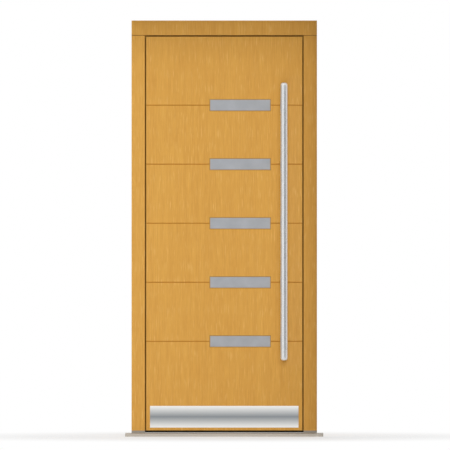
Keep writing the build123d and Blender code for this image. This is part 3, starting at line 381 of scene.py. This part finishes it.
# brush is the axis that the scratches follow, 0 to 2, and a metal without one is blasted; the usual values
# hold where a metal names none of its own
usualMetal = {"brush": None, "linesPerMetre": 1500.0, "squeeze": 0.012, "metallic": 1.0, "relief": 0.4}
metals = {
    "pull bar steel": {
        "colour": tint(231, 233, 234), "roughness": 0.28, "brush": 2, "metallic": 0.75,
        "nodes": ["pull_bar"]},
    "bar end steel": {
        "colour": tint(231, 233, 234), "roughness": 0.28, "metallic": 0.75,
        "nodes": ["bar_end_caps", "bar_posts", "bar_bolt_caps"]},
    "hinge steel": {
        "colour": tint(196, 197, 198), "roughness": 0.32, "brush": 2,
        "nodes": ["hinge_frame_plates", "hinge_leaf_plates", "hinge_pins"]},
    "lock steel": {
        "colour": tint(205, 206, 206), "roughness": 0.3, "brush": 2,
        "nodes": ["lock_faceplate", "main_keep", "bolt_keeps", "drive_strip"]},
    "case steel": {
        "colour": tint(150, 152, 154), "roughness": 0.4,
        "nodes": ["lock_case", "bolt_boxes", "spindle_follower", "cylinder_cam"]},
    "screw steel": {
        "colour": tint(188, 189, 190), "roughness": 0.3,
        "nodes": ["frame_screws", "frame_plate_screws", "leaf_plate_screws", "bar_bolts", "spindle"]},
    "nickel": {
        "colour": tint(212, 210, 204), "roughness": 0.22,
        "nodes": ["lock_cylinder", "latch_bolt", "deadbolt", "end_bolts"]},
    "lever steel": {
        "colour": tint(222, 224, 225), "roughness": 0.25,
        "nodes": ["lever_handle", "handle_roses", "thumbturn_knob"]},
    "tread aluminium": {
        "colour": tint(206, 207, 208), "roughness": 0.38, "brush": 0,
        "nodes": ["threshold_inner_rail"]},
}
scratching = {
    "roughness": 0.6,
    "lineShare": 0.7,
    "cloudsPerMetre": 14.0,
    "colourSpread": 0.05,
    "roughnessSpread": 0.1,
    "depth": 0.00001,
}
kickLow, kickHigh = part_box("kick_plate")
kick = {
    **usualMetal,
    # the edge and middle colours are a painted reflection, light at the long edges and dark in the middle
    "edge": tint(254, 254, 251),
    "middle": tint(145, 150, 154),
    "centreZ": (kickLow.z + kickHigh.z) / 2,
    "halfHeight": (kickHigh.z - kickLow.z) / 2,
    "evenness": 0.85,  # 1 lightens at one rate from the middle to the edges, and less starts more slowly
    "lineMarks": 0.08,
    "brush": 0,
    "linesPerMetre": 1300.0,
    "squeeze": 0.01,
    "roughness": 0.32,
    "relief": 0.35,
}


def scratches(shader, look):
    scale = [1.0, 1.0, 1.0]
    if look["brush"] is not None:
        scale[look["brush"]] = look["squeeze"]
    place = shader.place(tuple(scale))
    return shader.noise(place, look["linesPerMetre"], roughness=scratching["roughness"])


def metalSurface(shader, colour, lines, look):
    spread = scratching["roughnessSpread"]
    return shader.surface({
        "Base Color": colour,
        "Metallic": look["metallic"],
        "Roughness": look["roughness"] - spread / 2 + lines * spread,
        "Normal": shader.bump(lines, scratching["depth"], look["relief"]),
    })


def metalFinish(name, look):
    look = {**usualMetal, **look}
    shader = newMaterial(name)
    lines = scratches(shader, look)
    clouds = shader.noise(shader.place(), scratching["cloudsPerMetre"])
    mottle = lines * scratching["lineShare"] + clouds * (1 - scratching["lineShare"])
    colour = shader.vary(mottle, look["colour"], scratching["colourSpread"])
    return metalSurface(shader, colour, lines, look)


# the kick plate's brushed face carries a painted reflection: light at its long edges and darker to its
# middle
def kickFinish():
    shader = newMaterial("kick plate steel")
    lines = scratches(shader, kick)
    fromMiddle = abs(shader.coordinate("Z") - kick["centreZ"]) * (1 / kick["halfHeight"])
    paintedReflectionMix = fromMiddle * (kick["evenness"] + fromMiddle * (1 - kick["evenness"]))
    paintedReflection = shader.mix(paintedReflectionMix, kick["middle"], kick["edge"])
    return metalSurface(shader, shader.mix(lines * kick["lineMarks"], paintedReflection, kick["middle"]), lines, kick)


for name, look in metals.items():
    dress(metalFinish(name, look), *look["nodes"])
dress(kickFinish(), "kick_plate")
print("metals done")

screws = {
    "plate": {"head": 0.0042, "shank": 0.00225, "length": 0.03, "recess": 0.0018},
    "frame": {"head": 0.006, "shank": 0.003, "length": 0.14, "recess": 0.0026},
    "squares": 9,  # along each side of the grid that the head is drawn on, which runs from -1 to 1
    "armHalf": 0.1,  # the cross takes the squares whose middles lie within an arm's half width and reach
    "armReach": 0.5,
    "recessTaper": 0.72,
    "tip": 0.05,
    "turn": 0.7,  # how much further round each screw stops than the one before
    "hingeHeights": (0.28, 1.095, 1.91),
    "hingeSteps": ((0.056, -0.045), (0.063, -0.016), (0.056, 0.016), (0.063, 0.045)),
    "faceplateHeights": (0.263, 0.56, 0.83, 1.3, 1.56, 1.977),
    "keepHeights": (0.366, 0.434, 0.968, 1.048, 1.116, 1.716, 1.784),
    "lockY": 0.058,
    "rebateX": 0.448,
    "lipX": 0.445,
    "cornerX": 0.474,
    "cornerDepths": (0.021, 0.06),
    "top": 2.244,
}


def onlyVerts(geometry):
    return [part for part in geometry if isinstance(part, bmesh.types.BMVert)]


def openEdges(shape):
    return [edge for edge in shape.edges if edge.is_boundary]


# a countersunk screw with a cross recess, its head's top at the origin and its point down
def drawScrew(shape, size):
    bmesh.ops.create_grid(shape, x_segments=screws["squares"], y_segments=screws["squares"], size=1.0)
    cross = []
    for face in shape.faces:
        middle = face.calc_center_median()
        near, far = sorted((abs(middle.x), abs(middle.y)))
        if near < screws["armHalf"] and far < screws["armReach"]:
            cross.append(face)
    for vert in shape.verts:  # the square grid pressed into a disc
        x, y = vert.co.xy
        vert.co.x = x * math.sqrt(1 - y * y / 2) * size["head"]
        vert.co.y = y * math.sqrt(1 - x * x / 2) * size["head"]
    sunk = onlyVerts(bmesh.ops.extrude_face_region(shape, geom=cross)["geom"])
    bmesh.ops.delete(shape, geom=cross, context="FACES")
    bmesh.ops.scale(shape, vec=(screws["recessTaper"], screws["recessTaper"], 1), verts=sunk)
    bmesh.ops.translate(shape, vec=(0, 0, -size["recess"]), verts=sunk)
    neck = size["head"] - size["shank"]
    point = 2 * size["shank"]
    stages = (
        (neck, size["shank"] / size["head"]),
        (size["length"] - neck - point, 1.0),
        (point, screws["tip"]),
    )
    for drop, narrower in stages:
        lower = onlyVerts(bmesh.ops.extrude_edge_only(shape, edges=openEdges(shape))["geom"])
        bmesh.ops.scale(shape, vec=(narrower, narrower, 1), verts=lower)
        bmesh.ops.translate(shape, vec=(0, 0, -drop), verts=lower)
    bmesh.ops.holes_fill(shape, edges=openEdges(shape), sides=0)
    bmesh.ops.recalc_face_normals(shape, faces=shape.faces)
    for face in shape.faces:
        face.smooth = face.normal.z < 0.5 and face.calc_center_median().z < -size["recess"] / 2


# one object for all the screws of a node, in the material that the node is dressed in; a place is the
# middle of a head's top and the turn that aims it
def setScrews(name, node, body, size, places):
    shape = bmesh.new()
    drawScrew(shape, size)
    first = shape.verts[:] + shape.edges[:] + shape.faces[:]
    for count, (point, turn) in enumerate(places):
        moved = onlyVerts(bmesh.ops.duplicate(shape, geom=first)["geom"])
        spun = Matrix.Rotation(screws["turn"] * count, 4, "Z")
        bmesh.ops.transform(shape, matrix=Matrix.Translation(point) @ turn @ spun, verts=moved)
    bmesh.ops.delete(shape, geom=onlyVerts(first), context="VERTS")
    mesh = bpy.data.meshes.new(name)
    shape.to_mesh(mesh)
    shape.free()
    mesh.materials.append(nodes[node].data.materials[0])
    piece = bpy.data.objects.new(name, mesh)
    bpy.context.scene.collection.objects.link(piece)
    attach(piece, body)
    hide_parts(node)


headUp = Matrix()
headDown = Matrix.Rotation(math.pi, 4, "X")
headRight = Matrix.Rotation(math.pi / 2, 4, "Y")
headLeft = Matrix.Rotation(-math.pi / 2, 4, "Y")
hingePoints = [(y, z + step) for z in screws["hingeHeights"] for y, step in screws["hingeSteps"]]
cornerPoints = [(side * screws["cornerX"], y) for side in (-1, 1) for y in screws["cornerDepths"]]
setScrews("frame_plate_screw_set", "frame_plate_screws", "frame", screws["plate"],
          [((-screws["rebateX"], y, z), headRight) for y, z in hingePoints]
          + [((screws["rebateX"], screws["lockY"], z), headLeft) for z in screws["keepHeights"]])
setScrews("leaf_plate_screw_set", "leaf_plate_screws", "leaf", screws["plate"],
          [((-screws["lipX"], y, z), headLeft) for y, z in hingePoints]
          + [((screws["lipX"], screws["lockY"], z), headRight) for z in screws["faceplateHeights"]])
setScrews("corner_screw_set", "frame_screws", "frame", screws["frame"],
          [((x, y, screws["top"]), headUp) for x, y in cornerPoints]
          + [((x, y, 0), headDown) for x, y in cornerPoints])
print("screws done")

studio = {
    "fill": 0.48,
    "aim": (0.0, 0.0, 1.1),
    "floorRadius": 60.0,
    "floorTone": 0.92,
    "floorGlow": 0.5,
    "fadeFrom": 0.7,
    "fadeTo": 2.0,
}
lamps = [
    {"name": "key light", "power": 121.0, "size": 3.0, "place": (0.7, -7.2, 3.3)},
    {"name": "front light", "power": 131.0, "size": 2.0, "place": (0.0, -7.5, 1.2)},
    {"name": "room light", "power": 260.0, "size": 4.0, "place": (-1.6, 7.4, 3.2)},
]
# the camera stands so far off that its view is a flat elevation
view = {"lens": 1000.0, "sensor": 36.0, "across": 2.4273, "middleX": 0.004, "middleZ": 1.141}


# 1 for what the camera, a reflection or clear glass shows, and 0 for the light that falls on things
def seenDirectly(shader):
    camera, glossy, through = [shader.add("ShaderNodeLightPath", output=ray) for ray in
                               ("Is Camera Ray", "Is Glossy Ray", "Is Transmission Ray")]
    return shader.between(camera + glossy + through, 0.4, 0.6)


def grey(tone):
    return (tone, tone, tone, 1.0)


# puts a finished shape into the studio, as something that isn't part of the door
def stand(name, shape, material):
    mesh = bpy.data.meshes.new(name)
    shape.to_mesh(mesh)
    shape.free()
    mesh.materials.append(material)
    thing = bpy.data.objects.new(name, mesh)
    bpy.context.scene.collection.objects.link(thing)
    return thing


# the floor keeps the door's shadow near it and turns plain white further off
def buildFloor():
    shape = bmesh.new()
    bmesh.ops.create_circle(shape, cap_ends=True, segments=96, radius=studio["floorRadius"])
    shader = newMaterial("studio floor")
    plain = shader.add("ShaderNodeBsdfDiffuse", {}, {"Color": grey(studio["floorTone"])})
    white = shader.add("ShaderNodeBsdfDiffuse", {}, {"Color": grey(1.0)})
    glow = shader.add("ShaderNodeEmission", {}, {"Color": grey(1.0)})
    spot = shader.add("ShaderNodeTexCoord", output="Object")
    away = shader.add("ShaderNodeVectorMath", {"operation": "LENGTH"}, {0: spot}, output="Value")
    fade = shader.between(away, studio["fadeFrom"], studio["fadeTo"])
    glowing = studio["floorGlow"] + fade * (1 - studio["floorGlow"])
    shown = shader.add("ShaderNodeMixShader", {}, {0: glowing, 1: white, 2: glow})
    both = shader.add("ShaderNodeMixShader", {}, {0: seenDirectly(shader), 1: plain, 2: shown})
    shader.add("ShaderNodeOutputMaterial", {}, {"Surface": both})
    stand("studio floor", shape, shader.owner)


def buildWorld():
    world = bpy.data.worlds.new("studio")
    bpy.context.scene.world = world
    shader = Shader(world)
    white = shader.add("ShaderNodeBackground", {}, {"Color": grey(1.0)})
    fill = shader.add("ShaderNodeBackground", {}, {"Color": grey(1.0), "Strength": studio["fill"]})
    both = shader.add("ShaderNodeMixShader", {}, {0: seenDirectly(shader), 1: fill, 2: white})
    shader.add("ShaderNodeOutputWorld", {}, {"Surface": both})


def buildLamp(name, power, size, place):
    light = bpy.data.lights.new(name, "AREA")
    light.size = size
    light.energy = power
    lamp = bpy.data.objects.new(name, light)
    lamp.location = place
    lamp.rotation_mode = "QUATERNION"
    lamp.rotation_quaternion = (Vector(studio["aim"]) - Vector(place)).to_track_quat("-Z", "Y")
    lamp.visible_camera = False
    lamp.visible_glossy = False
    bpy.context.scene.collection.objects.link(lamp)


def buildCamera():
    lens = bpy.data.cameras.new("camera")
    lens.lens = view["lens"]
    lens.sensor_width = view["sensor"]
    distance = view["across"] * view["lens"] / view["sensor"]
    lens.clip_end = 3 * distance
    camera = bpy.data.objects.new("camera", lens)
    camera.location = (view["middleX"], -distance, view["middleZ"])
    camera.rotation_euler = (math.pi / 2, 0, 0)
    bpy.context.scene.collection.objects.link(camera)
    bpy.context.scene.camera = camera


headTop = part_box("head_outer")[1]
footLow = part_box("lock_jamb_outer")[0].z
sideHeight = headTop.z - footLow
shade = {"topDepth": 0.6, "sideDepth": 0.34, "tone": 0.32, "clearance": 0.001}
# the camera never sees these boards: two shade the head and the right jamb, and the cards show only in
# metal, as the pull bar's dark line and its dark and light edges, and as a soft shade on the lever
boards = [
    {"name": "reveal above", "width": 2 * headTop.x, "height": shade["topDepth"],
     "place": (0, -shade["topDepth"] / 2, headTop.z + shade["clearance"]),
     "turn": 0.0, "tilt": 0.0, "tone": shade["tone"], "shades": True},
    {"name": "reveal beside", "width": shade["sideDepth"], "height": sideHeight,
     "place": (headTop.x + shade["clearance"], -shade["sideDepth"] / 2, footLow + sideHeight / 2),
     "turn": 90.0, "tilt": 90.0, "tone": shade["tone"], "shades": True},
    {"name": "right card", "width": 0.8, "height": 1.56, "place": (0.6, -0.48, 1.16),
     "turn": 45.0, "tilt": 90.0, "tone": 0.3},
    {"name": "left card", "width": 0.3, "height": 1.56, "place": (-0.1, -0.16, 1.16),
     "turn": 90.0, "tilt": 90.0, "tone": 0.45},
    {"name": "edge card", "width": 0.078, "height": 1.56, "place": (0.379, -0.002, 1.16),
     "turn": 0.0, "tilt": 90.0, "tone": 0.9},
    {"name": "room card", "width": 3.0, "height": 1.0, "place": (0.2, 1.5, 2.0),
     "turn": 0.0, "tilt": 45.0, "tone": 0.35},
]


# a board that shades is grey card, and one that doesn't is a plain glow; tilt 0 lies flat and 90 stands
def buildBoard(name, width, height, place, turn, tilt, tone, shades=False):
    turned = Matrix.Rotation(math.radians(turn), 4, "Z") @ Matrix.Rotation(math.radians(tilt), 4, "X")
    shape = bmesh.new()
    bmesh.ops.create_grid(shape, x_segments=1, y_segments=1, size=0.5)
    bmesh.ops.scale(shape, vec=(width, height, 1), verts=shape.verts)
    bmesh.ops.transform(shape, matrix=Matrix.Translation(place) @ turned, verts=shape.verts)
    shader = newMaterial(name)
    kind = "ShaderNodeBsdfDiffuse" if shades else "ShaderNodeEmission"
    shader.add("ShaderNodeOutputMaterial", {}, {"Surface": shader.add(kind, {}, {"Color": grey(tone)})})
    board = stand(name, shape, shader.owner)
    board.visible_camera = False
    board.visible_transmission = False
    board.visible_glossy = not shades
    board.visible_diffuse = shades
    board.visible_shadow = shades


buildFloor()
buildWorld()
for lamp in lamps:
    buildLamp(**lamp)
buildCamera()
for board in boards:
    buildBoard(**board)
bpy.context.scene.view_settings.view_transform = "Standard"
print("floor, light and camera done")
